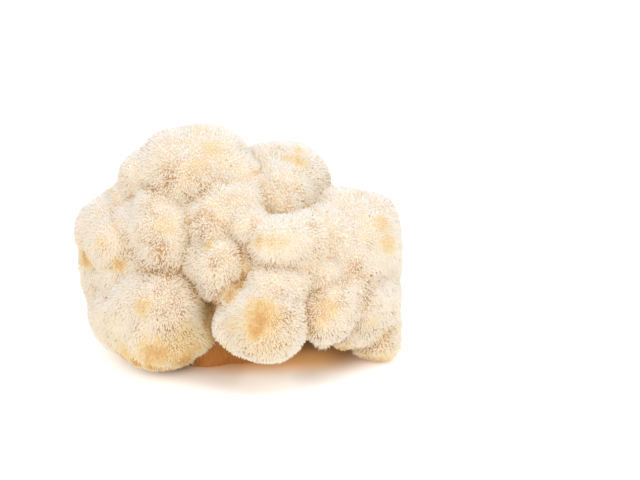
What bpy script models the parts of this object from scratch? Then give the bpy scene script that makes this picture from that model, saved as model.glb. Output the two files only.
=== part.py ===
"""A lion's mane mushroom: one picked fruiting body, a clump of rounded lobes covered in short soft spines.

The lobes grew together from one stub, which was cut off flat where it left the wood. The clump rests on
that cut, and its lowest lobes hang just clear of the surface. The origin is the middle of the cut, +X runs
along the clump's length, -Y is its front and +Z is up. Lengths here are millimetres.
"""

import math

import bmesh
import bpy
from mathutils import Matrix, Vector
from mathutils.bvhtree import BVHTree

MM = 0.001

# Driving sizes: the spines' length, and the stub where it is cut. The cut is a main oval and a smaller one
# that runs out to the front left: each one's middle (x, y), its half length and its half depth.
SPINE_LENGTH = 2.6
STUB_OVALS = {
    "stub": (0, 0, 28, 18),
    "stub_toe": (-15, -10, 13, 13),
}
STUB_HEIGHT = 26.0
STUB_FLARE = 1.1
STUB_SIDES = 48

# The balls are fused at this fineness and their creases smoothed, which takes a little off each lobe. The
# flesh has this many facets, and each facet carries one spine.
FUSING_VOXEL = 1.5
CREASE_SMOOTHING = 20
SMOOTHING_LOSS = 1.0
FLESH_FACETS = 3250

# The flesh isn't quite smooth: its surface rises and falls by the first of these over the second.
UNEVENNESS = 1.2
GRAIN = 2.5

# In a crease a spine takes these shares of the room to the flesh opposite, and up to the crease's middle.
OPPOSITE_SHARE = 0.45
CREASE_SHARE = 0.8
LOWEST_TIP = 0.3
NEXT_TO_NOTHING = 0.05

# Each lobe is a ball: its middle (x, y, z), and its radius out to the tips of its spines.
LEFT_LOBES = {
    "crown": (-28.0, 0, 92.7, 20.6),
    "crown_right": (-12.3, 3, 93.7, 20.2),
    "crown_top": (-19.0, 2, 94.5, 20.1),
    "crown_front": (-23.6, -8, 91.7, 16.1),
    "crown_shoulder": (-44.1, -2, 91.0, 12.4),
    "shoulder_join": (-51.7, -2, 78.7, 10.6),
    "upper_left": (-61.5, -2, 62.4, 17.6),
    "upper_left_front": (-58.1, -12, 60.3, 14.8),
    "left_waist": (-63.3, -4, 48.7, 14.3),
    "left_flank": (-60.3, -4, 39.3, 16.5),
    "left_flank_fore": (-52.4, -13, 44.3, 16.4),
    "lower_left": (-50.7, -12, 25.7, 22.3),
    "lower_left_fore": (-49.0, -19, 27.0, 21.2),
    "lower_front": (-37.1, -24, 24.4, 24.0),
    "lower_front_high": (-34.0, -29, 34.2, 19.5),
    "lower_front_left": (-42.6, -24, 32.2, 20.5),
    "lower_front_right": (-22.2, -27, 20.0, 12.0),
    "lower_front_heel": (-28.6, -22, 8.5, 8.7),
    "middle": (-34.4, -18, 67.6, 17.5),
    "middle_join_left": (-47.5, -11, 66.1, 14.8),
    "middle_join_right": (-22.0, -11, 69.1, 12.9),
    "middle_foot": (-24.2, -19, 57.8, 12.4),
    "middle_high": (-35.9, -14, 76.2, 14.2),
    "middle_low": (-32.7, -23, 62.4, 13.7),
    "inner": (-6.8, -17, 76.8, 15.6),
    "inner_middle": (1.6, -14, 78.7, 14.9),
    "inner_ridge": (3.3, -8, 83.7, 13.3),
    "crown_saddle": (-1.5, -4, 88.4, 14.8),
    "inner_left": (-12.4, -18, 75.1, 13.2),
    "inner_brow_join": (7.2, -27, 73.3, 10.3),
    "inner_lower": (-10.8, -24, 71.7, 11.7),
    "inner_low": (-6.8, -32, 57.2, 13.4),
    "inner_low_left": (-13.3, -27, 56.3, 12.7),
    "inner_low_tip": (-7.9, -33, 49.0, 10.3),
    "inner_low_foot": (-14.0, -27, 46.2, 9.5),
    "inner_neck": (-6.8, -22, 62.0, 13.7),
    "inner_fold": (4.3, -29, 57.0, 10.8),
    "inner_under": (-2.2, -18, 37.0, 11.5),
    "inner_seat": (-1.5, -34, 45, 10),
    "notch_fill": (-14.7, -22, 27.2, 7.2),
    "notch_back": (-11.8, -20, 31.6, 7.7),
}
RIGHT_LOBES = {
    "rear_top": (16.1, 14, 81.0, 21.0),
    "rear_top_right": (24.4, 13, 81.3, 21.2),
    "rear_low": (20.8, -2, 80.7, 17.3),
    "rear_foot": (20.5, -10, 78.4, 12.9),
    "right_dome": (50.6, -2, 62.9, 21.3),
    "right_side": (58.3, -6, 57.6, 21.7),
    "right_crest": (63.2, 0, 66.3, 15.5),
    "right_ridge": (32.8, -12, 63.9, 15.0),
    "right_brow": (41.4, -16, 62.8, 17.1),
    "brow": (19.0, -33, 67.5, 13.3),
    "brow_right": (26.0, -30, 66.9, 13.3),
    "brow_join": (33.4, -24, 65.7, 14.6),
    "right_knuckle": (54.3, -19, 52.8, 15.2),
    "front_bulb": (15.3, -44, 32.3, 19.6),
    "front_neck": (17.6, -39, 47.9, 13.1),
    "front_neck_right": (24.5, -36, 46.7, 11.7),
    "neck_join": (32.0, -29, 51.5, 12.7),
    "front_join": (40.9, -27, 48.7, 13.2),
    "front_ear": (-0.3, -42, 29.9, 10.8),
    "front_ear_join": (6.3, -41, 36.1, 13.6),
    "front_ear_low": (5.8, -43, 26.8, 12.2),
    "front_right": (46.1, -34, 36.8, 13.7),
    "front_right_join": (51.9, -25, 42.8, 14.2),
    "right_join": (59.1, -22, 33.4, 14.4),
    "front_right_low": (42.4, -36, 32.5, 14.1),
    "right_lower": (63.2, -15, 30.6, 16.4),
    "right_waist": (68.6, -6, 43.7, 11.4),
    "right_flank": (66.7, -8, 32.5, 13.1),
    "right_under": (60.2, -20, 22.3, 12.0),
    "right_heel": (69.3, -10, 18.1, 11.0),
    "foot": (69.2, -15, 10.7, 10.7),
    "foot_inner": (62.9, -14, 9.2, 8.8),
    "right_under_inner": (51.5, -23, 19.3, 9.6),
}
BACK_LOBES = {
    "back_shoulder": (-37, 20, 78, 17),
    "back_left_high": (-56, 15, 64, 16),
    "back_left": (-57, 19, 43, 18),
    "back_left_low": (-46, 21, 21, 19.5),
    "back_crown": (-15, 24, 86, 18),
    "back_middle": (-27, 35, 60, 18),
    "back_middle_knob": (-11, 41, 69, 12.5),
    "back_low": (-19, 37, 35, 18),
    "back_low_knob": (-34, 34, 23, 14.5),
    "back_inner": (8, 37, 60, 17.5),
    "back_inner_low": (9, 41, 40, 15),
    "back_right_high": (38, 24, 61, 18),
    "back_right": (30, 35, 44, 18.5),
    "back_right_knob": (48, 31, 51, 12),
    "back_right_low": (48, 24, 24, 19.5),
    "back_side": (65, 13, 41, 16),
    "heel": (61, 9, 17, 15),
    "back_foot": (5, 30, 18, 16),
    "back_heel": (25, 31, 20, 15),
}
CORE_LOBES = {
    "core_left": (-34, 1, 50, 34),
    "core_low_left": (-40, -4, 27, 24),
    "core_back_left": (-28, 13, 48, 33),
    "core_middle": (4, 6, 50, 32),
    "core_back_right": (26, 12, 44, 32),
    "core_right": (40, -2, 46, 33),
}


def clear_scene():
    for obj in list(bpy.data.objects):
        bpy.data.objects.remove(obj)


def cream_flesh():
    """Cream flesh, as matt as felt."""
    colour = (0.93, 0.80, 0.60, 1.0)
    material = bpy.data.materials.new("cream_flesh")
    material.use_nodes = True
    material.diffuse_color = colour
    surface = material.node_tree.nodes["Principled BSDF"]
    surface.inputs["Base Color"].default_value = colour
    surface.inputs["Roughness"].default_value = 0.85
    surface.inputs["Metallic"].default_value = 0.0
    return material


def balls_and_stub():
    """Every lobe as a ball short of its spines, and the stub, which runs down past the cut."""
    shapes = bmesh.new()
    for lobes in (LEFT_LOBES, RIGHT_LOBES, BACK_LOBES, CORE_LOBES):
        for x, y, z, reach in lobes.values():
            place = Matrix.Translation(Vector((x, y, z)) * MM)
            radius = (reach - SPINE_LENGTH + SMOOTHING_LOSS) * MM
            bmesh.ops.create_icosphere(shapes, subdivisions=4, radius=radius, matrix=place)
    for x, y, half_length, half_depth in STUB_OVALS.values():
        size = Matrix.Diagonal(Vector((half_length, half_depth, STUB_HEIGHT)) * MM)
        bmesh.ops.create_cone(
            shapes,
            cap_ends=True,
            segments=STUB_SIDES,
            radius1=1.0,
            radius2=STUB_FLARE,
            depth=2.0,
            matrix=Matrix.Translation(Vector((x, y, 0)) * MM) @ size.to_4x4(),
        )
    return shapes


def fused(shapes):
    """The overlapping shapes as one smooth body of about FLESH_FACETS triangles."""
    mesh = bpy.data.meshes.new("lobes")
    shapes.to_mesh(mesh)
    shapes.free()
    helper = bpy.data.objects.new("lobes", mesh)
    bpy.context.collection.objects.link(helper)
    remesh = helper.modifiers.new("fuse", "REMESH")
    remesh.mode = "VOXEL"
    remesh.voxel_size = FUSING_VOXEL * MM
    smooth = helper.modifiers.new("soften creases", "SMOOTH")
    smooth.iterations = CREASE_SMOOTHING
    grain = bpy.data.textures.new("grain", "CLOUDS")
    grain.noise_scale = GRAIN * MM
    uneven = helper.modifiers.new("unevenness", "DISPLACE")
    uneven.texture = grain
    uneven.strength = UNEVENNESS * MM
    graph = bpy.context.evaluated_depsgraph_get()
    fine_triangles = 2 * len(helper.evaluated_get(graph).data.polygons)
    thin = helper.modifiers.new("facets", "DECIMATE")
    thin.ratio = FLESH_FACETS / fine_triangles
    thin.use_collapse_triangulate = True
    graph.update()
    body = bmesh.new()
    body.from_mesh(helper.evaluated_get(graph).data)
    bpy.data.objects.remove(helper)
    return body


def cut_flat(body):
    """Cuts the stub off at z = 0 and closes it with one flat face."""
    cut = bmesh.ops.bisect_plane(
        body,
        geom=body.verts[:] + body.edges[:] + body.faces[:],
        dist=NEXT_TO_NOTHING * MM,
        plane_co=(0, 0, 0),
        plane_no=(0, 0, -1),
        clear_outer=True,
    )
    rim = [part for part in cut["geom_cut"] if isinstance(part, bmesh.types.BMEdge)]
    for edge in rim:
        for corner in edge.verts:
            corner.co.z = 0
    bmesh.ops.edgenet_fill(body, edges=rim)
    body.normal_update()


def spine_height(facet, flesh):
    """A spine's full length, or less where the flesh opposite or a crease beside the facet is near."""
    heights = [SPINE_LENGTH * MM]
    middle = facet.calc_center_median()
    start = middle + facet.normal * NEXT_TO_NOTHING * MM
    room = flesh.ray_cast(start, facet.normal, SPINE_LENGTH * MM / OPPOSITE_SHARE)[3]
    if room is not None:
        heights.append(OPPOSITE_SHARE * room)
    for edge in facet.edges:
        fold = -edge.calc_face_angle_signed(0.0)
        if fold > 0:
            along = (edge.verts[1].co - edge.verts[0].co).normalized()
            inset = (middle - edge.verts[0].co).cross(along).length
            heights.append(CREASE_SHARE * inset * math.tan((math.pi - fold) / 2))
    return min(heights)


def grow_spines(body):
    """Draws every three-sided facet out into one spine. The rim of the cut stays bare."""
    flesh = BVHTree.FromBMesh(body)
    skin = [facet for facet in body.faces if len(facet.verts) == 3]
    heights = [spine_height(facet, flesh) for facet in skin]
    for facet, height in zip(skin, heights):
        tip = bmesh.ops.poke(body, faces=[facet], offset=height)["verts"][0]
        tip.co.z = max(tip.co.z, LOWEST_TIP * MM)


def main():
    clear_scene()
    body = fused(balls_and_stub())
    cut_flat(body)
    grow_spines(body)
    mesh = bpy.data.meshes.new("fruiting_body")
    body.to_mesh(mesh)
    body.free()
    mesh.materials.append(cream_flesh())
    bpy.context.collection.objects.link(bpy.data.objects.new("fruiting_body", mesh))


main()
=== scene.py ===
"""A lion's mane mushroom, picked and set down on its cut: a clump of cream lobes under a coat of fine spines.

Tables are in millimetres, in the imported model's frame: +X along the clump, -Y to its front, +Z up, and the
origin in the middle of the cut.
"""

import math

import bpy
import numpy as np
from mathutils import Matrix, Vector, noise
from mathutils.bvhtree import BVHTree
from mathutils.kdtree import KDTree


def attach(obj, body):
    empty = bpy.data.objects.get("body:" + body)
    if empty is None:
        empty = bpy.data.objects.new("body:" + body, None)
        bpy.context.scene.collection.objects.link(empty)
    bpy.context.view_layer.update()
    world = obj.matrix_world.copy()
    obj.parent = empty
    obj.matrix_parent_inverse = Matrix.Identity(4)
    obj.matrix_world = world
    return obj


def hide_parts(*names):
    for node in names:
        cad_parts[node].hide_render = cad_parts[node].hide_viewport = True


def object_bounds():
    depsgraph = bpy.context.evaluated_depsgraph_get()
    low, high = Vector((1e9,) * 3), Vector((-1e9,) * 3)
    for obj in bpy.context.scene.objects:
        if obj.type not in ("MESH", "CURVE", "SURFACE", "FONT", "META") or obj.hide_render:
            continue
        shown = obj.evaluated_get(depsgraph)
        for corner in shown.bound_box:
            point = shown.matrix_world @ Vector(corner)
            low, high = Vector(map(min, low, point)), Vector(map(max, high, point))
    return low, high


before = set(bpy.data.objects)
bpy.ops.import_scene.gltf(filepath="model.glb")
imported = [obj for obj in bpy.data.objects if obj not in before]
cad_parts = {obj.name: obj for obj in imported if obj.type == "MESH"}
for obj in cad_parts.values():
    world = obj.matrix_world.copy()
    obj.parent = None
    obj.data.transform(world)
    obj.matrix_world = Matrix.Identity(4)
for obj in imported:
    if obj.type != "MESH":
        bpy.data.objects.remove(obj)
cad_box = [list(corner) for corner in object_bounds()]


# The camera. It stands in front of the clump and a little above it, with a long lens, and aims past the
# clump's middle, which leaves the clump left of the frame's middle as in the photograph.
MM = 0.001
CAMERA_AIM = Vector((40, 0, 57)) * MM
CAMERA_DISTANCE = 863 * MM
CAMERA_ELEVATION = math.radians(20)
LENS = 100

backwards = Vector((0, -math.cos(CAMERA_ELEVATION), math.sin(CAMERA_ELEVATION)))
bpy.ops.object.camera_add(location=CAMERA_AIM + backwards * CAMERA_DISTANCE)
camera = bpy.context.object
camera.rotation_euler = (-backwards).to_track_quat("-Z", "Y").to_euler()
camera.data.lens = LENS
bpy.context.scene.camera = camera


# The studio. A pale sky, a soft lamp above on the right, a large warm fill in front and a weaker one behind.
# Small glows stand for the light that creeps in under the lobes. The sweep is painted with light and shade:
# it glows white away from the clump, which leaves a painted shadow round it, and is painted warm brown under
# it.
SKY = (1.0, 0.96, 0.93, 1.0)
LAMP = (0.93, 0.96, 1.0)
SKY_STRENGTH = 0.64
HORIZON_STRENGTH = 0.95
HORIZON_BAND = 0.4
LAMP_PLACE = Vector((270, -60, 880)) * MM
LAMP_SIZE = 700 * MM
LAMP_POWER = 2.6
FILL_PLACE = Vector((35, -800, 560)) * MM
FILL_SIZE = 700 * MM
FILL_POWER = 5.1
FILL = (1.0, 0.925, 0.85)
BACK_FILL_PLACE = Vector((-120, 780, 480)) * MM
BACK_FILL_SIZE = 700 * MM
BACK_FILL_POWER = 2.0
# Each glow's place, power, colour and size.
GLOWS = {
    "left": ((0, -26, 8), 0.0003, (1.0, 0.60, 0.25), 24),
    "bulb": ((16, -32, 7), 0.0010, (1.0, 0.95, 0.85), 26),
    "right": ((34, -16, 8), 0.0008, (1.0, 0.86, 0.62), 24),
}
SWEEP_SIZE = 12.0
SWEEP_DROP = 0.1 * MM
SWEEP_COLOUR = (0.925, 0.92, 0.925, 1.0)
SWEEP_GLOW = 0.45
SWEEP_GLOW_MIDDLE = Vector((8, 7, 0)) * MM
SWEEP_GLOW_START = 44 * MM
SWEEP_GLOW_END = 76 * MM
SWEEP_PAINTED_SHADOW = (0.78, 0.48, 0.24, 1.0)
SWEEP_PAINTED_SHADOW_MIDDLE = Vector((13, 4, 0)) * MM
SWEEP_PAINTED_SHADOW_START = 21 * MM
SWEEP_PAINTED_SHADOW_END = 43 * MM
SWEEP_PAINTED_SHADOW_NARROWING = 0.5

world = bpy.data.worlds.new("studio")
world.use_nodes = True
tree = world.node_tree
direction = tree.nodes.new("ShaderNodeTexCoord")
parts = tree.nodes.new("ShaderNodeSeparateXYZ")
height = tree.nodes.new("ShaderNodeMapRange")
height.interpolation_type = "SMOOTHSTEP"
height.inputs["From Max"].default_value = HORIZON_BAND
height.inputs["To Min"].default_value = HORIZON_STRENGTH
height.inputs["To Max"].default_value = SKY_STRENGTH
tree.links.new(direction.outputs["Generated"], parts.inputs["Vector"])
tree.links.new(parts.outputs["Z"], height.inputs["Value"])
tree.nodes["Background"].inputs["Color"].default_value = SKY
tree.links.new(height.outputs["Result"], tree.nodes["Background"].inputs["Strength"])
bpy.context.scene.world = world

for place, size, power, colour in (
    (LAMP_PLACE, LAMP_SIZE, LAMP_POWER, LAMP),
    (FILL_PLACE, FILL_SIZE, FILL_POWER, FILL),
    (BACK_FILL_PLACE, BACK_FILL_SIZE, BACK_FILL_POWER, FILL),
):
    bpy.ops.object.light_add(type="AREA", location=place)
    lamp = bpy.context.object
    lamp.rotation_euler = (-place).to_track_quat("-Z", "Y").to_euler()
    lamp.data.size = size
    lamp.data.energy = power
    lamp.data.color = colour

for place, power, colour, size in GLOWS.values():
    bpy.ops.object.light_add(type="AREA", location=Vector(place) * MM)
    glow = bpy.context.object
    glow.data.size = size * MM
    glow.data.color = colour
    glow.data.energy = power
    glow.visible_camera = False

bpy.ops.mesh.primitive_plane_add(size=SWEEP_SIZE, location=(0, 0, -SWEEP_DROP))
sweep = bpy.context.object
sweep.name = "sweep"
white = bpy.data.materials.new("sweep_white")
white.use_nodes = True
tree = white.node_tree
surface = tree.nodes["Principled BSDF"]
surface.inputs["Roughness"].default_value = 0.9
surface.inputs["Specular IOR Level"].default_value = 0.0
surface.inputs["Emission Color"].default_value = SWEEP_COLOUR


def rising_from(tree, middle, start, end, most, narrowing=1.0):
    """A socket that is 0 round the middle and rises to the most between two distances from it.

    Distances along X count as shorter by the narrowing.
    """
    place = tree.nodes.new("ShaderNodeTexCoord")
    from_middle = tree.nodes.new("ShaderNodeMapping")
    from_middle.inputs["Scale"].default_value = (narrowing, 1, 1)
    from_middle.inputs["Location"].default_value = (-narrowing * middle.x, -middle.y, 0)
    distance = tree.nodes.new("ShaderNodeVectorMath")
    distance.operation = "LENGTH"
    rise = tree.nodes.new("ShaderNodeMapRange")
    rise.interpolation_type = "SMOOTHSTEP"
    rise.inputs["From Min"].default_value = start
    rise.inputs["From Max"].default_value = end
    rise.inputs["To Max"].default_value = most
    tree.links.new(place.outputs["Object"], from_middle.inputs["Vector"])
    tree.links.new(from_middle.outputs["Vector"], distance.inputs[0])
    tree.links.new(distance.outputs["Value"], rise.inputs["Value"])
    return rise.outputs["Result"]


# A mix node's colour sockets, which can't be told apart from its others by name.
MIX_FIRST = 6
MIX_SECOND = 7
MIX_RESULT = 2


def linked_mix(tree, factor, first, second):
    """A colour mix node's result. Each of the three is a socket to link or a plain value."""
    mix = tree.nodes.new("ShaderNodeMix")
    mix.data_type = "RGBA"
    sockets = (mix.inputs["Factor"], mix.inputs[MIX_FIRST], mix.inputs[MIX_SECOND])
    for socket, source in zip(sockets, (factor, first, second)):
        if isinstance(source, bpy.types.NodeSocket):
            tree.links.new(source, socket)
        else:
            socket.default_value = source
    return mix.outputs[MIX_RESULT]


# Painted light: the sweep glows more away from the clump, which leaves a painted shadow round it.
painted_glow = rising_from(tree, SWEEP_GLOW_MIDDLE, SWEEP_GLOW_START, SWEEP_GLOW_END, SWEEP_GLOW)
tree.links.new(painted_glow, surface.inputs["Emission Strength"])
# Painted shadow: the sweep is warm brown under the clump.
outside_painted_shadow = rising_from(
    tree, SWEEP_PAINTED_SHADOW_MIDDLE, SWEEP_PAINTED_SHADOW_START, SWEEP_PAINTED_SHADOW_END, 1.0, SWEEP_PAINTED_SHADOW_NARROWING
)
tree.links.new(linked_mix(tree, outside_painted_shadow, SWEEP_PAINTED_SHADOW, SWEEP_COLOUR), surface.inputs["Base Color"])
sweep.data.materials.append(white)

bpy.context.scene.view_settings.view_transform = "Standard"


# The flesh. Balls of dense fungus grew into one another from a single stub, which was cut off flat. Each
# entry is a lobe's middle and its reach out to the tips of its spines; the flesh stops short of that.
LOBES = {
    "crown": (-28.0, 0, 92.7, 20.6),
    "crown_right": (-12.3, 3, 93.7, 20.2),
    "crown_top": (-19.0, 2, 94.5, 20.1),
    "crown_front": (-23.6, -8, 91.7, 16.1),
    "crown_shoulder": (-44.1, -2, 91.0, 12.4),
    "shoulder_join": (-51.7, -2, 78.7, 10.6),
    "upper_left": (-61.5, -2, 62.4, 17.6),
    "upper_left_front": (-58.1, -12, 60.3, 14.8),
    "left_waist": (-63.3, -4, 48.7, 14.3),
    "left_flank": (-60.3, -4, 39.3, 16.5),
    "left_flank_fore": (-52.4, -13, 44.3, 16.4),
    "lower_left": (-50.7, -12, 25.7, 22.3),
    "lower_left_fore": (-49.0, -19, 27.0, 21.2),
    "lower_front": (-37.1, -24, 24.4, 24.0),
    "lower_front_high": (-34.0, -29, 34.2, 19.5),
    "lower_front_left": (-42.6, -24, 32.2, 20.5),
    "lower_front_right": (-22.2, -27, 20.0, 12.0),
    "lower_front_heel": (-28.6, -22, 8.5, 8.7),
    "middle": (-34.4, -18, 67.6, 17.5),
    "middle_join_left": (-47.5, -11, 66.1, 14.8),
    "middle_join_right": (-22.0, -11, 69.1, 12.9),
    "middle_foot": (-24.2, -19, 57.8, 12.4),
    "middle_high": (-35.9, -14, 76.2, 14.2),
    "middle_low": (-32.7, -23, 62.4, 13.7),
    "inner": (-6.8, -17, 76.8, 15.6),
    "inner_middle": (1.6, -14, 78.7, 14.9),
    "inner_ridge": (3.3, -8, 83.7, 13.3),
    "crown_saddle": (-1.5, -4, 88.4, 14.8),
    "inner_left": (-12.4, -18, 75.1, 13.2),
    "inner_brow_join": (7.2, -27, 73.3, 10.3),
    "inner_lower": (-10.8, -24, 71.7, 11.7),
    "inner_low": (-6.8, -32, 57.2, 13.4),
    "inner_low_left": (-13.3, -27, 56.3, 12.7),
    "inner_low_tip": (-7.9, -33, 49.0, 10.3),
    "inner_low_foot": (-14.0, -27, 46.2, 9.5),
    "inner_neck": (-6.8, -22, 62.0, 13.7),
    "inner_fold": (4.3, -29, 57.0, 10.8),
    "inner_under": (-2.2, -18, 37.0, 11.5),
    "inner_seat": (-1.5, -34, 45, 10),
    "notch_fill": (-14.7, -22, 27.2, 7.2),
    "notch_back": (-11.8, -20, 31.6, 7.7),
    "rear_top": (16.1, 14, 81.0, 21.0),
    "rear_top_right": (24.4, 13, 81.3, 21.2),
    "rear_low": (20.8, -2, 80.7, 17.3),
    "rear_foot": (20.5, -10, 78.4, 12.9),
    "right_dome": (50.6, -2, 62.9, 21.3),
    "right_side": (58.3, -6, 57.6, 21.7),
    "right_crest": (63.2, 0, 66.3, 15.5),
    "right_ridge": (32.8, -12, 63.9, 15.0),
    "right_brow": (41.4, -16, 62.8, 17.1),
    "brow": (19.0, -33, 67.5, 13.3),
    "brow_right": (26.0, -30, 66.9, 13.3),
    "brow_join": (33.4, -24, 65.7, 14.6),
    "right_knuckle": (54.3, -19, 52.8, 15.2),
    "front_bulb": (15.3, -44, 32.3, 19.6),
    "front_neck": (17.6, -39, 47.9, 13.1),
    "front_neck_right": (24.5, -36, 46.7, 11.7),
    "neck_join": (32.0, -29, 51.5, 12.7),
    "front_join": (40.9, -27, 48.7, 13.2),
    "front_ear": (-0.3, -42, 29.9, 10.8),
    "front_ear_join": (6.3, -41, 36.1, 13.6),
    "front_ear_low": (5.8, -43, 26.8, 12.2),
    "front_right": (46.1, -34, 36.8, 13.7),
    "front_right_join": (51.9, -25, 42.8, 14.2),
    "right_join": (59.1, -22, 33.4, 14.4),
    "front_right_low": (42.4, -36, 32.5, 14.1),
    "right_lower": (63.2, -15, 30.6, 16.4),
    "right_waist": (68.6, -6, 43.7, 11.4),
    "right_flank": (66.7, -8, 32.5, 13.1),
    "right_under": (60.2, -20, 22.3, 12.0),
    "right_heel": (69.3, -10, 18.1, 11.0),
    "foot": (69.2, -15, 10.7, 10.7),
    "foot_inner": (62.9, -14, 9.2, 8.8),
    "right_under_inner": (51.5, -23, 19.3, 9.6),
    "back_shoulder": (-37, 20, 78, 17),
    "back_left_high": (-56, 15, 64, 16),
    "back_left": (-57, 19, 43, 18),
    "back_left_low": (-46, 21, 21, 19.5),
    "back_crown": (-15, 24, 86, 18),
    "back_middle": (-27, 35, 60, 18),
    "back_middle_knob": (-11, 41, 69, 12.5),
    "back_low": (-19, 37, 35, 18),
    "back_low_knob": (-34, 34, 23, 14.5),
    "back_inner": (8, 37, 60, 17.5),
    "back_inner_low": (9, 41, 40, 15),
    "back_right_high": (38, 24, 61, 18),
    "back_right": (30, 35, 44, 18.5),
    "back_right_knob": (48, 31, 51, 12),
    "back_right_low": (48, 24, 24, 19.5),
    "back_side": (65, 13, 41, 16),
    "heel": (61, 9, 17, 15),
    "back_foot": (5, 30, 18, 16),
    "back_heel": (25, 31, 20, 15),
    "core_left": (-34, 1, 50, 34),
    "core_low_left": (-40, -4, 27, 24),
    "core_back_left": (-28, 13, 48, 33),
    "core_middle": (4, 6, 50, 32),
    "core_back_right": (26, 12, 44, 32),
    "core_right": (40, -2, 46, 33),
}
COAT = 1.2
STUB_OVALS = {
    "stub": (0, 0, 28, 18),
    "stub_toe": (-15, -10, 13, 13),
}
STUB_HEIGHT = 26
STUB_FLARE = 1.1
STUB_SIDES = 48
LOBE_SUBDIVISIONS = 4
FLESH_VOXEL = 1.5 * MM
FLESH_SOFTENING = 20
LUMPS = 7 * MM
LUMP_HEIGHT = 1.5 * MM
CUT_WELD = 1e-6
CUT_EDGE_ANGLE = math.radians(50)

bpy.ops.object.select_all(action="DESELECT")
balls = []
for x, y, z, reach in LOBES.values():
    middle = Vector((x, y, z)) * MM
    radius = (reach - COAT) * MM
    bpy.ops.mesh.primitive_ico_sphere_add(subdivisions=LOBE_SUBDIVISIONS, radius=radius, location=middle)
    balls.append(bpy.context.object)
for x, y, half_length, half_depth in STUB_OVALS.values():
    sizes = Vector((half_length, half_depth, STUB_HEIGHT)) * MM
    middle = Vector((x, y, 0)) * MM
    bpy.ops.mesh.primitive_cone_add(
        vertices=STUB_SIDES, radius1=1, radius2=STUB_FLARE, depth=2, scale=sizes, location=middle
    )
    balls.append(bpy.context.object)
flesh = bpy.context.object
for ball in balls:
    ball.select_set(True)
bpy.ops.object.join()
bpy.ops.object.transform_apply(location=True, rotation=True, scale=True)
flesh.name = "flesh"

remesh = flesh.modifiers.new("grow together", "REMESH")
remesh.mode = "VOXEL"
remesh.voxel_size = FLESH_VOXEL
soften = flesh.modifiers.new("soften creases", "SMOOTH")
soften.iterations = FLESH_SOFTENING
lump_texture = bpy.data.textures.new("lumps", "CLOUDS")
lump_texture.noise_scale = LUMPS
lumps = flesh.modifiers.new("lumps", "DISPLACE")
lumps.texture = lump_texture
lumps.strength = LUMP_HEIGHT
for modifier in ("grow together", "soften creases", "lumps"):
    bpy.ops.object.modifier_apply(modifier=modifier)

bpy.ops.object.mode_set(mode="EDIT")
bpy.ops.mesh.select_all(action="SELECT")
bpy.ops.mesh.bisect(
    plane_co=(0, 0, 0), plane_no=(0, 0, -1), clear_outer=True, use_fill=True, threshold=CUT_WELD
)
bpy.ops.object.mode_set(mode="OBJECT")
bpy.ops.object.shade_smooth_by_angle(angle=CUT_EDGE_ANGLE)


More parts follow.
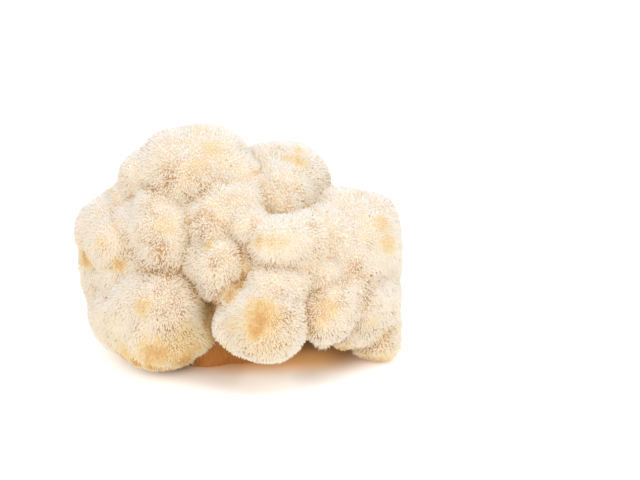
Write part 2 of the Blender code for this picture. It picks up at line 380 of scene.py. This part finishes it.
# The flesh's colour. It is cream, and handling and drying turned it and its spines amber in patches. Other
# patches, in the notch, in creases and low on the lobes, are painted shade, brown where light is low.
# Each entry is a patch's middle, its radius and strength.
STAIN_AND_SHADE_PATCHES = {
    "left edge": (-72, -14, 54, 6, 0.9),
    "left flank": (-55, -26, 55, 4.5, 0.8),
    "left high": (-64, -25, 65, 5, 0.3),
    "middle": (-32, -33, 76, 6, 0.2),
    "lower bulge": (-43, -45, 40, 5.5, 0.55),
    # Down to the skirt, painted shade low on the lower front and left lobes and beside the notch; the lowest
    # front patch and the skirt are also stains.
    "lower front low": (-37, -47, 16.5, 11, 0.8),
    "lower front base": (-28, -45, 14, 8, 0.62),
    "lower front right": (-24, -41, 23, 12, 0.42),
    "notch side high": (-15, -32, 34, 6.5, 0.55),
    "notch side low": (-13.5, -31, 26, 6.5, 0.8),
    "lower left": (-60, -36, 24, 13, 0.12),
    "lower left base": (-54, -40, 14, 8, 0.6),
    "lower front heel": (-20, -39, 14, 9, 0.68),
    "lower front sole": (-24, -38, 10.5, 8, 1.0),
    "skirt left": (-55, -33, 10.5, 5, 1.4),
    "skirt middle": (-48, -39, 9, 5, 1.3),
    "skirt right": (-41, -41, 7.5, 5, 1.3),
    "skirt end": (-34, -38, 4, 5, 1.2),
    "front bulb top": (12, -57, 47, 5, 0.7),
    "front bulb middle": (12.5, -61, 42, 6, 0.85),
    "front bulb low": (11, -63, 36, 5.5, 0.95),
    "front bulb halo": (12, -61, 42, 12, 0.6),
    # Painted shade over the front of the bulb.
    "front bulb round": (12, -61, 33, 16, 0.22),
    "front ear": (-1, -55, 35, 6, 0.35),
    "bulb rim left": (-4, -50, 22, 4, 0.5),
    "bulb rim low": (4, -50, 16, 4, 0.45),
    "rear top": (30, 0, 97, 5, 0.5),
    "rear top left": (25, 0, 98, 4, 0.4),
    "rear top high": (30, 7, 101, 4, 0.4),
    "brow left": (11, -42, 72, 4, 0.55),
    "brow middle": (17.5, -45, 73, 4, 0.42),
    "brow right": (24, -44, 73, 3.5, 0.4),
    "inner low top": (-12, -37, 68, 3.5, 0.55),
    "inner low seam": (5, -37, 57, 4, 0.45),
    "inner low right": (2, -42, 49, 4.5, 0.58),
    "inner low tip": (-2, -45, 46, 4.5, 0.75),
    "front right": (44, -47, 41, 6, 0.4),
    "front right low": (40, -50, 35, 5, 0.45),
    "crown": (-11, -12, 107, 6, 0.25),
    "crown front": (-17, -19, 101, 5.5, 0.25),
    "crown top": (-17, -1, 114, 5, 0.25),
    "right edge high": (70, -17, 72, 5.5, 0.45),
    "right edge": (73, -21, 63, 5.5, 0.45),
    "right dome": (59, -3, 83, 5, 0.2),
    "foot": (71, -24, 17, 6, 0.25),
    # Painted shade along the soles, over a stain.
    "foot sole": (62, -20, 3, 8, 0.45),
    "right sole": (51, -27, 10, 7, 0.85),
    # Painted shade in the rear crease.
    "rear crease": (18, -19, 78, 8, 0.15),
    "right lower": (65, -34, 28, 5, 0.3),
    # Painted shade in the notch.
    "notch": (-14, -24, 31, 10, 0.85),
    "notch low": (-13, -27, 21, 10, 0.9),
    "back middle": (-33, 51, 66, 5, 0.4),
    "back middle low": (-26, 53, 60, 4, 0.35),
    "back right": (40, 50, 53, 5, 0.4),
    "back right low": (35, 52, 46, 4, 0.3),
    "back left": (-71, 27, 43, 5, 0.35),
    "back shoulder": (-44, 33, 86, 4.5, 0.3),
    "back crown": (-19, 38, 95, 4, 0.3),
}
STAIN_REACH = 1.25
STAIN_RAGGEDNESS = 0.35
RAGGED_SIZES = (2.2 * MM, 0.9 * MM)
# Undersides low down are painted brown as well, as shade under the lobes and a stain where the clump lay on
# its
# lowest lobes: how much, how high up in steps of a height, that height, and how fast, from what tilt and how
# raggedly the brown sets in as the flesh turns down.
SHADED_UNDERSIDES = {
    "soles": (1.0, 1.15, 15, 1, 0.1, 0.5),
    "level undersides": (0.7, 3.0, 14, 6, 5.1, 0.4),
}
STUB_REACH = 1.3
STUB_EDGE = 8
STUB_BARE_TOP = 2
STUB_BARE_FADE = 14 * MM


def from_stub(places):
    """How far each place is from the middle of the stub's nearest oval, where 1 is the oval's rim."""
    ovals = np.array(list(STUB_OVALS.values())) * MM
    return np.min([np.hypot((places[:, 0] - x) / a, (places[:, 1] - y) / b) for x, y, a, b in ovals], axis=0)


def staining_and_shading(places, outward):
    """How amber each place is painted, from 0 to 1, for stains and for painted shade."""
    amber_and_shade = np.zeros(len(places))
    ragged = np.zeros(len(places))
    for size in RAGGED_SIZES:
        ragged += np.array([noise.noise(Vector(place) / size) for place in places])
    for x, y, z, radius, strength in STAIN_AND_SHADE_PATCHES.values():
        distance = np.linalg.norm(places - np.array((x, y, z)) * MM, axis=1) / (radius * MM)
        edge = np.clip(STAIN_REACH - distance + STAIN_RAGGEDNESS * ragged, 0, 1)
        amber_and_shade = np.maximum(amber_and_shade, strength * edge * edge * (3 - 2 * edge))
    for strength, steps, step_height, steepness, tilt, raggedness in SHADED_UNDERSIDES.values():
        low = np.clip(steps - places[:, 2] / (step_height * MM), 0, 1)
        facing_down = np.clip(-steepness * outward[:, 2] - tilt + raggedness * ragged, 0, 1)
        amber_and_shade = np.maximum(amber_and_shade, strength * low * facing_down)
    return amber_and_shade


def vectors(items, field):
    """One vector from each of a mesh's items, as an array."""
    flat = np.empty(3 * len(items), np.float32)
    items.foreach_get(field, flat)
    return flat.reshape(-1, 3).astype(float)


ZONE_REACH = 1.3


def nearness(places, x, y, z, radius):
    """How near each place is to a zone's middle, from 1 there to 0 outside it."""
    distance = np.linalg.norm(places - np.array((x, y, z)) * MM, axis=1) / (radius * MM)
    return np.clip(ZONE_REACH - distance, 0, 1)


def add_attribute(mesh, name, values):
    """Gives each of a mesh's points a value that a material can read."""
    mesh.attributes.new(name, "FLOAT", "POINT").data.foreach_set("value", values.astype(np.float32))


# The painted crease shade is deeper at the lower of two heights than at the upper, where the lamp reaches
# into the creases.
CREASE_HEIGHTS = (25 * MM, 62 * MM)
CREASE_DEPTHS = (1.15, 0.5)
NUDGE = 0.5 * MM
OPEN_GAP = 16 * MM
GOLDEN_ANGLE = math.pi * (3 - math.sqrt(5))
SPOKE_COUNT = 12
SPOKE_LENGTH = 0.97
SPOKES = []
for step in range(SPOKE_COUNT):
    rise = 1 - (2 * step + 1) / SPOKE_COUNT
    reach = math.sqrt(1 - rise * rise)
    turn = step * GOLDEN_ANGLE
    SPOKES.append(SPOKE_LENGTH * Vector((reach * math.cos(turn), reach * math.sin(turn), rise)))


def sheltering(places, outward, walls):
    """How far each place is shut in by the lobes round it, from 0 in the open to 1 deep in a crease."""
    closed = np.zeros(len(places))
    for index, (place, way) in enumerate(zip(places, outward)):
        way = Vector(way)
        start = Vector(place) + way * NUDGE
        for spoke in SPOKES:
            gap = walls.ray_cast(start, (way + spoke).normalized(), OPEN_GAP)[3]
            if gap is not None:
                closed[index] += 1 - gap / OPEN_GAP
    return closed / len(SPOKES)


# Where two of these bulges meet there is a seam.
BULGES = (
    "crown",
    "upper_left",
    "left",
    "lower",
    "middle",
    "inner_low",
    "inner",
    "rear",
    "right",
    "brow",
    "front_right",
    "front",
    "foot",
    "back_crown",
    "back_left",
    "back_middle",
    "back_low",
    "back_inner",
    "back_right",
)


def seam_gaps(places):
    """How much nearer each place is to its own bulge than to the next one: 0 along a seam."""
    bulges = {}
    for name, (x, y, z, reach) in LOBES.items():
        bulge = next((start for start in BULGES if name.startswith(start)), None)
        if bulge is not None:
            distance = np.linalg.norm(places - np.array((x, y, z)) * MM, axis=1) - reach * MM
            bulges[bulge] = np.minimum(distance, bulges.get(bulge, np.inf))
    nearest = np.sort(list(bulges.values()), axis=0)
    return nearest[1] - nearest[0]


skin = vectors(flesh.data.vertices, "co")
skin_normals = vectors(flesh.data.vertices, "normal")
walls = BVHTree.FromObject(flesh, bpy.context.evaluated_depsgraph_get())
skin_amber_and_shade = staining_and_shading(skin, skin_normals)
skin_bare = np.clip(STUB_EDGE * (STUB_REACH - from_stub(skin)), 0, 1)
skin_bare *= np.clip(STUB_BARE_TOP - skin[:, 2] / STUB_BARE_FADE, 0, 1)
# How shut in each place is sets the painted crease shade of the spines and how open their coat stands.
skin_crease_shade = sheltering(skin, skin_normals, walls)
skin_crease_shade *= np.interp(skin[:, 2], CREASE_HEIGHTS, CREASE_DEPTHS)
skin_gaps = seam_gaps(skin)
add_attribute(flesh.data, "amber_and_shade", skin_amber_and_shade)
add_attribute(flesh.data, "bare", skin_bare)

# Where the coat stands more or less open, with more or less painted shade between its spines: a zone's
# middle, its radius and the change.
COAT_ZONES = {
    "crown top": (-14, -7, 112, 18, -0.35),
    "crown left": (-45, -12, 99, 12, -0.3),
    "shoulder crease": (-49, -10, 80, 9, -0.4),
    "shoulder low": (-53, -22, 70, 8, -0.4),
    "crown saddle": (-2, -15, 93, 9, -0.4),
    "inner ridge": (7, -14, 95, 11, -0.4),
    "brow top": (20, -39, 77, 15, -0.6),
    "dome top": (50, -15, 80, 18, -0.45),
    "dome front": (45, -28, 65, 14, -0.35),
    "inner front": (-4, -32, 80, 10, -0.35),
    "right edge": (72, -22, 58, 14, -0.4),
    "left high": (-67, -14, 75, 14, -0.35),
    "left flank": (-62, -27, 42, 14, -0.15),
    "lower left": (-59, -38, 26, 14, 0.15),
    "bulb left": (3, -51, 46, 14, -0.5),
    "bulb low": (8, -62, 26, 12, 0.3),
    "crown low": (-28, -19, 97, 14, 0.4),
    "crown crease": (-26, -20, 84, 10, -0.45),
    "rear low": (22, -11, 86, 10, 0.25),
    "rear foot": (20, -18, 76, 7, -0.5),
    "rear crease": (38, 0, 79, 10, -0.45),
    "inner crease": (14, -20, 76, 8, -0.3),
    "middle low": (-34, -37, 61, 13, 0.3),
    "middle high": (-36, -32, 76, 10, 0.2),
    "inner right": (-6, -32, 75, 11, 0.2),
    "lower front right": (-23, -44, 33, 13, 0.35),
    "lower front high": (-36, -38, 49, 10, 0.45),
    "lower front base": (-25, -42, 17, 12, 0.75),
    "lower front side": (-29, -45, 23, 9, 0.35),
    "notch top": (-16, -36, 48, 7, 0.45),
    "bulb right": (24, -57, 44, 12, 0.25),
    "bulb middle": (18, -60, 36, 9, 0.4),
    "brow under": (28, -42, 57, 9, -0.3),
    "dome seam": (52, -34, 57, 8, 0.05),
    "right": (63, -33, 48, 11, 0.2),
    "dome cluster": (39, -32, 77, 5, 0.5),
    "front right": (47, -46, 44, 9, 0.1),
    "front right low": (37, -46, 37, 8, 0.45),
    "right under": (50, -38, 26, 9, 0.55),
    "right crease": (47, -38, 52, 8, -0.3),
    "foot": (69, -25, 17, 7, 0.5),
    "foot low": (63, -27, 8, 8, 0.6),
    "inner low": (-4, -45, 59, 9, 0.15),
}
OPEN_BASE = 0.25
OPEN_PATCHES = 0.6
OPEN_CREASES = 0.9
OPEN_SEAMS = 0.45
MATTED_TOPS = 0.3
MATTED_STAINS = 0.5
PATCH = 6 * MM
SEAM_FRINGE = 7 * MM


def openness(places, outward, crease_shade, amber_and_shade, gaps):
    """How open the coat stands at each place, from 0 where it is matted to 1 where its dark roots show as
    painted shade.
    """
    patches = np.array([noise.noise(Vector(place) / PATCH) for place in places])
    loose_and_shaded = OPEN_BASE + OPEN_PATCHES * patches - MATTED_TOPS * outward[:, 2]
    # Creases and seams open the coat and tops mat it, which paints shade into hollows and light onto tops.
    loose_and_shaded += OPEN_CREASES * crease_shade - MATTED_STAINS * amber_and_shade
    loose_and_shaded += OPEN_SEAMS * np.clip(1 - gaps / SEAM_FRINGE, 0, 1)
    for x, y, z, radius, change in COAT_ZONES.values():
        loose_and_shaded += change * nearness(places, x, y, z, radius)
    return np.clip(loose_and_shaded, 0, 1)


skin_open_and_shaded = openness(skin, skin_normals, skin_crease_shade, skin_amber_and_shade, skin_gaps)
add_attribute(flesh.data, "open_and_shaded", skin_open_and_shaded)

FLESH_COLOUR = (0.88, 0.72, 0.50, 1.0)
FLESH_OPEN = (0.50, 0.31, 0.15, 1.0)
FLESH_AMBER_AND_SHADE = (0.74, 0.46, 0.18, 1.0)
STUB_SHADE_BROWN = (0.39, 0.16, 0.042, 1.0)
STUB_SHADE_STREAK = (0.47, 0.21, 0.06, 1.0)
CUT_CREAM = (0.80, 0.62, 0.40, 1.0)
CUT_TAN = (0.70, 0.48, 0.26, 1.0)
CUT_SKIM = 0.1 * MM
CUT_CREAM_REACH = 11 * MM
CUT_RIM_START = 19 * MM
CUT_NARROWING = STUB_OVALS["stub"][3] / STUB_OVALS["stub"][2]
FIBRES = (700, 700, 260)
FIBRE_CONTRAST = (0.35, 0.65)
FIBRE_RELIEF = 0.6
FIBRE_DEPTH = 1 * MM


def attribute(tree, name):
    """A socket with what add_attribute gave the mesh under a name."""
    node = tree.nodes.new("ShaderNodeAttribute")
    node.attribute_name = name
    return node.outputs["Fac"]


def ranged(tree, source, low, high, most=1.0):
    """A socket's values from low to high, spread over 0 to the most."""
    node = tree.nodes.new("ShaderNodeMapRange")
    node.inputs["From Min"].default_value = low
    node.inputs["From Max"].default_value = high
    node.inputs["To Max"].default_value = most
    tree.links.new(source, node.inputs["Value"])
    return node.outputs["Result"]


flesh_finish = bpy.data.materials.new("flesh")
flesh_finish.use_nodes = True
tree = flesh_finish.node_tree
surface = tree.nodes["Principled BSDF"]
surface.inputs["Roughness"].default_value = 0.9
surface.inputs["Specular IOR Level"].default_value = 0.1
where = tree.nodes.new("ShaderNodeTexCoord")
stretch = tree.nodes.new("ShaderNodeMapping")
stretch.inputs["Scale"].default_value = FIBRES
fibres = tree.nodes.new("ShaderNodeTexNoise")
fibres.inputs["Scale"].default_value = 1.0
fibres.inputs["Detail"].default_value = 4.0
tree.links.new(where.outputs["Object"], stretch.inputs["Vector"])
tree.links.new(stretch.outputs["Vector"], fibres.inputs["Vector"])
relief = tree.nodes.new("ShaderNodeBump")
relief.inputs["Strength"].default_value = FIBRE_RELIEF
relief.inputs["Distance"].default_value = FIBRE_DEPTH
tree.links.new(fibres.outputs["Fac"], relief.inputs["Height"])
tree.links.new(relief.outputs["Normal"], surface.inputs["Normal"])
# The flesh is painted darker where the coat is open, as shade between the spines, and amber for stains and
# painted shade.
bare_flesh = linked_mix(tree, attribute(tree, "open_and_shaded"), FLESH_COLOUR, FLESH_OPEN)
coated = linked_mix(tree, attribute(tree, "amber_and_shade"), bare_flesh, FLESH_AMBER_AND_SHADE)
streaks = ranged(tree, fibres.outputs["Fac"], *FIBRE_CONTRAST)
# The stub's side is painted dark orange brown with fibre streaks: painted shade under the clump, and its own
# browning.
stub_brown_and_shade = linked_mix(tree, streaks, STUB_SHADE_BROWN, STUB_SHADE_STREAK)
outside = linked_mix(tree, attribute(tree, "bare"), coated, stub_brown_and_shade)
grain = linked_mix(tree, streaks, CUT_TAN, CUT_CREAM)
brown_rim = rising_from(tree, Vector((0, 0, 0)), CUT_CREAM_REACH, CUT_RIM_START, 1.0, CUT_NARROWING)
above_the_cut = tree.nodes.new("ShaderNodeSeparateXYZ")
tree.links.new(where.outputs["Object"], above_the_cut.inputs["Vector"])
at_the_cut = ranged(tree, above_the_cut.outputs["Z"], CUT_SKIM, 0)
dressed = linked_mix(tree, at_the_cut, outside, linked_mix(tree, brown_rim, grain, stub_brown_and_shade))
tree.links.new(dressed, surface.inputs["Base Color"])
flesh.data.materials.append(flesh_finish)
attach(flesh, "root")
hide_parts("fruiting_body")


# The spines. They are soft, blunt and close together, about as long as a grain of rice is thick, and they
# droop a little where the flesh faces sideways. One is modelled, and the others are copies of it.
SEED = 11
SPINE_TRIES = 480_000
SPINE_PITCH = 0.64 * MM
SPINE_LENGTH = 2.5 * MM
SPINE_RADIUS = 0.31 * MM
SPINE_ROOT = 0.35 * MM
SPINE_CLEARANCE = 0.15 * MM
SHORTEST_AND_LONGEST = (0.75, 1.1)
THINNEST_AND_THICKEST = (0.85, 1.15)
MATTED_THICKENING = 0.25
LEAST_LENGTH = 0.3 * MM
ROOT_FLARE = 1.1
TIP_START = 0.7
# The cut has no spines, and the stub none up to a height.
CUT_BARE = 1.2 * MM
STUB_BARE = 16 * MM
STUB_BARE_REACH = 1.15
# A spine is no longer than a share of the room before the next lobe, and a little more.
ROOM_START = 0.3 * MM
ROOM_REACH = 6 * MM
ROOM_SHARE = 0.5
ROOM_SPARE = 0.2 * MM
# How much spines droop, lean together and stray, as shares of their length.
DROOP = 0.1
MATTED_DROOP = 0.25
COMBED_DROOP = 0.9
TUFT_DROOP = 1.5
TUFT_LENGTHENING = 1.4
LEAN = 0.35
LEAN_SIZE = 1.0 * MM
STRAY = 0.3
SAG = 0.12
# Dark specks, painted shade in the gaps between the spines, show where noise passes a threshold, more of them
# where the coat is open.
SPECK = 1.1 * MM
FINER_SPECKS = 0.5
RAREST_SPECKS = 0.75
COMMONEST_SPECKS = 0.10
SPECKS_LOST_TO_STAINS = 0.5
SPECK_EDGE = 0.15
SPECK_SHORTENING = 0.5
# Seams are broken lines of painted shade, darker where they lie deep.
SEAM_WIDTH = 1.8 * MM
SEAM_SHADE = 0.7
SEAM_FAINTEST = 0.35
SEAM_DEEPENING = 4
SEAM_DASH = 3 * MM
DASH_LEVEL = 0.75
DASH_CONTRAST = 1.2
# Where the coat is combed downwards, and one long tuft: a middle and a radius.
COMBED = {
    "left flank": (-64, -20, 40, 24),
    "lower left": (-58, -34, 22, 20),
    "right side": (72, -20, 45, 16),
}
TUFT = (41, -37, 20.5, 4)
SPINE_NAMES = (
    "far_left_spines",
    "left_spines",
    "left_middle_spines",
    "right_middle_spines",
    "right_spines",
    "far_right_spines",
)

# The pattern is one spine of a length and radius of 1: three sides, open at the root, drawn to a point.
bpy.ops.object.select_all(action="DESELECT")
bpy.ops.mesh.primitive_cone_add(
    vertices=3,
    radius1=ROOT_FLARE,
    radius2=1,
    depth=TIP_START,
    location=(0, 0, TIP_START / 2),
    end_fill_type="NOTHING",
)
pattern = bpy.context.object
bpy.ops.object.transform_apply(location=True)
bpy.ops.object.mode_set(mode="EDIT")
bpy.ops.mesh.select_all(action="DESELECT")
bpy.ops.object.mode_set(mode="OBJECT")
for vertex in pattern.data.vertices:
    vertex.select = vertex.co.z > TIP_START / 2
for edge in pattern.data.edges:
    edge.select = all(pattern.data.vertices[i].select for i in edge.vertices)
bpy.ops.object.mode_set(mode="EDIT")
bpy.ops.mesh.extrude_region_move(TRANSFORM_OT_translate={"value": (0, 0, 1 - TIP_START)})
bpy.ops.mesh.merge(type="CENTER")
bpy.ops.mesh.select_all(action="SELECT")
bpy.ops.mesh.quads_convert_to_tris()
bpy.ops.mesh.normals_make_consistent(inside=False)
bpy.ops.object.mode_set(mode="OBJECT")
spine_shape = vectors(pattern.data.vertices, "co")
spine_faces = np.array([face.vertices[:] for face in pattern.data.polygons])
bpy.data.objects.remove(pattern)

# Noise is seeded as well as the draws, because noise_vector gives other vectors in each run otherwise.
rng = np.random.default_rng(SEED)
noise.seed_set(SEED)


def unit(arrows):
    """Each arrow at a length of 1."""
    return arrows / np.linalg.norm(arrows, axis=1, keepdims=True)


def spread(mesh, tries, pitch):
    """Places spread over a mesh, none nearer to the next than the pitch.

    Each is the three corners of a triangle and the place's shares of them.
    """
    mesh.calc_loop_triangles()
    trios = np.array([triangle.vertices[:] for triangle in mesh.loop_triangles])
    corners = skin[trios]
    areas = np.linalg.norm(np.cross(corners[:, 1] - corners[:, 0], corners[:, 2] - corners[:, 0]), axis=1)
    chosen = rng.choice(len(trios), size=tries, p=areas / areas.sum())
    shares = rng.dirichlet((1, 1, 1), size=len(chosen))
    places = (corners[chosen] * shares[:, :, None]).sum(axis=1)
    neighbours = KDTree(len(places))
    for index, place in enumerate(places):
        neighbours.insert(place, index)
    neighbours.balance()
    free = np.ones(len(places), bool)
    kept = []
    for index, place in enumerate(places):
        if free[index]:
            kept.append(index)
            for _, near, _ in neighbours.find_range(place, pitch):
                free[near] = False
    heights = places[kept][:, 2]
    bare = (heights < CUT_BARE) | (heights < STUB_BARE) & (from_stub(places[kept]) < STUB_BARE_REACH)
    kept = np.array(kept)[~bare]
    return trios[chosen[kept]], shares[kept]


trios, shares = spread(flesh.data, SPINE_TRIES, SPINE_PITCH)
roots = (skin[trios] * shares[:, :, None]).sum(axis=1)
outward = unit((skin_normals[trios] * shares[:, :, None]).sum(axis=1))
amber_and_shade = (skin_amber_and_shade[trios] * shares).sum(axis=1)
crease_shade = (skin_crease_shade[trios] * shares).sum(axis=1)
dashes = np.array([noise.noise(Vector(root) / SEAM_DASH) for root in roots])
seams = np.clip(1 - seam_gaps(roots) / SEAM_WIDTH, 0, 1)
seams *= np.clip(SEAM_FAINTEST + SEAM_DEEPENING * crease_shade, 0, 1)
crease_shade += SEAM_SHADE * seams * np.clip(DASH_LEVEL + DASH_CONTRAST * dashes, 0, 1)
loose_and_shaded = (skin_open_and_shaded[trios] * shares).sum(axis=1)
matted = (1 - loose_and_shaded)[:, None]
down = np.array((0, 0, -1.0))
sideways = np.sqrt(np.clip(1 - outward[:, 2] ** 2, 0, 1))[:, None]
lean = np.array([noise.noise_vector(Vector(root) / LEAN_SIZE) for root in roots])
combed = np.zeros(len(roots))
for x, y, z, radius in COMBED.values():
    combed = np.maximum(combed, nearness(roots, x, y, z, radius))
tuft = nearness(roots, *TUFT)
droop = (DROOP + MATTED_DROOP * matted + COMBED_DROOP * combed[:, None]) * sideways * down
droop += TUFT_DROOP * tuft[:, None] * down
aim = unit(outward + droop + LEAN * lean + STRAY * rng.normal(size=roots.shape))
specks = np.array([noise.noise(Vector(root) / SPECK) for root in roots])
specks += FINER_SPECKS * np.array([noise.noise(Vector(root) / (FINER_SPECKS * SPECK)) for root in roots])
threshold = RAREST_SPECKS + (COMMONEST_SPECKS - RAREST_SPECKS) * loose_and_shaded + SPECKS_LOST_TO_STAINS * amber_and_shade
pit = np.clip((specks - threshold) / SPECK_EDGE, 0, 1)
amber_and_shade *= 1 - tuft
lengths = SPINE_LENGTH * rng.uniform(*SHORTEST_AND_LONGEST, len(roots))
lengths *= (1 - SPECK_SHORTENING * pit) * (1 + TUFT_LENGTHENING * tuft)
for index, (root, way) in enumerate(zip(roots, aim)):
    way = Vector(way)
    room = walls.ray_cast(Vector(root) + way * ROOM_START, way, ROOM_REACH)[3]
    if room is not None:
        lengths[index] = min(lengths[index], ROOM_SHARE * room + ROOM_SPARE)
lengths = np.clip(lengths, LEAST_LENGTH, None)
tone = rng.random(len(roots))
across = unit(np.cross(aim, rng.normal(size=roots.shape)))
beside = np.cross(aim, across)
radii = SPINE_RADIUS * rng.uniform(*THINNEST_AND_THICKEST, len(roots))
radii *= 1 + MATTED_THICKENING * matted[:, 0]
sag = SAG * sideways * down

LIT_TOP_TIP = (0.98, 0.965, 0.945, 1.0)
SHADED_SIDE_TIP = (0.96, 0.888, 0.757, 1.0)
OPEN_TIP = (0.972, 0.91, 0.785, 1.0)
MATTED_ROOT = (0.955, 0.855, 0.685, 1.0)
OPEN_ROOT = (0.67, 0.45, 0.23, 1.0)
SPECK_SHADE = (0.50, 0.27, 0.10, 1.0)
YELLOW_STAIN_AND_SHADE = (0.94, 0.76, 0.43, 1.0)
BROWN_STAIN_AND_SHADE = (0.80, 0.44, 0.15, 1.0)
WARM_SHADE = (0.965, 0.825, 0.61, 1.0)
CREASE_SHADE_ROOT = (0.42, 0.17, 0.04, 1.0)
CREASE_SHADE_TIP = (0.76, 0.44, 0.18, 1.0)
DULL = (0.92, 0.78, 0.58, 1.0)
# Over which values of an attribute a colour comes in, and how far it does where that isn't the whole way.
ROOT_TO_TIP = (0.0, 0.8)
SIDE_TO_TOP = (0.1, 0.8)
DULLING = (0.4, 1.0, 0.35)
WARMING = (0.0, 0.16, 0.75)
YELLOWING = (0.0, 0.5)
BROWNING = (0.45, 1.0)
CREASING = (0.16, 0.46)

spine_finish = bpy.data.materials.new("spines")
spine_finish.use_nodes = True
tree = spine_finish.node_tree
surface = tree.nodes["Principled BSDF"]
surface.inputs["Roughness"].default_value = 0.75
surface.inputs["Subsurface Weight"].default_value = 0.35
surface.inputs["Subsurface Radius"].default_value = (1.0, 0.7, 0.45)
surface.inputs["Subsurface Scale"].default_value = 2 * MM
surface.inputs["Specular IOR Level"].default_value = 0.2
along = ranged(tree, attribute(tree, "along"), *ROOT_TO_TIP)
# Roots are painted darker than tips, most where the coat is open: painted shade between the spines.
root = linked_mix(tree, attribute(tree, "open_and_shaded"), MATTED_ROOT, OPEN_ROOT)
# Tips are painted paler and less yellow on tops than on the sides: painted light from above.
top_lit_tip = linked_mix(tree, ranged(tree, attribute(tree, "upward"), *SIDE_TO_TOP), SHADED_SIDE_TIP, LIT_TOP_TIP)
tip = linked_mix(tree, attribute(tree, "open_and_shaded"), top_lit_tip, OPEN_TIP)
fresh = linked_mix(tree, ranged(tree, attribute(tree, "tone"), *DULLING), tip, DULL)
specked = linked_mix(tree, attribute(tree, "pit"), linked_mix(tree, along, root, fresh), SPECK_SHADE)
# Painted shade: spines shut in by lobes are warmer.
warm_shaded = linked_mix(tree, ranged(tree, attribute(tree, "crease_shade"), *WARMING), specked, WARM_SHADE)
# Amber and brown for real stains, and for painted shade in the notch, low down and under the lobes.
yellowed_and_shaded = linked_mix(tree, ranged(tree, attribute(tree, "amber_and_shade"), *YELLOWING), warm_shaded, YELLOW_STAIN_AND_SHADE)
stained_and_shaded = linked_mix(tree, ranged(tree, attribute(tree, "amber_and_shade"), *BROWNING), yellowed_and_shaded, BROWN_STAIN_AND_SHADE)
# Painted shade: deep in creases and seams the spines are brown from root to tip.
painted_crease_shade = linked_mix(tree, along, CREASE_SHADE_ROOT, CREASE_SHADE_TIP)
crease_shaded = linked_mix(tree, ranged(tree, attribute(tree, "crease_shade"), *CREASING), stained_and_shaded, painted_crease_shade)
tree.links.new(crease_shaded, surface.inputs["Base Color"])

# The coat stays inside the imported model's box, and a little above what the clump rests on.
spine_room = np.array(cad_box)
spine_room[0, 2] += SPINE_CLEARANCE
spine_values = {
    "tone": tone,
    "amber_and_shade": amber_and_shade,
    "crease_shade": crease_shade,
    "open_and_shaded": loose_and_shaded,
    "pit": pit,
    "upward": outward[:, 2],
}
groups = np.array_split(np.argsort(roots[:, 0]), len(SPINE_NAMES))
for name, group in zip(SPINE_NAMES, groups):
    x, y, z = (spine_shape[None, :, axis, None] for axis in range(3))
    sections = radii[group, None, None] * (across[group, None, :] * x + beside[group, None, :] * y)
    middles = lengths[group, None, None] * (aim[group, None, :] * z + sag[group, None, :] * z**2)
    points = (roots[group] - SPINE_ROOT * aim[group])[:, None, :] + sections + middles
    points = np.clip(points, spine_room[0], spine_room[1])
    faces = spine_faces[None] + len(spine_shape) * np.arange(len(group))[:, None, None]
    mesh = bpy.data.meshes.new(name)
    mesh.from_pydata(points.reshape(-1, 3), [], faces.reshape(-1, 3))
    mesh.shade_smooth()
    add_attribute(mesh, "along", np.tile(spine_shape[:, 2], len(group)))
    for label, values in spine_values.items():
        add_attribute(mesh, label, np.repeat(values[group], len(spine_shape)))
    mesh.materials.append(spine_finish)
    spines = bpy.data.objects.new(name, mesh)
    bpy.context.collection.objects.link(spines)
    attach(spines, "root")
    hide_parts("fruiting_body")
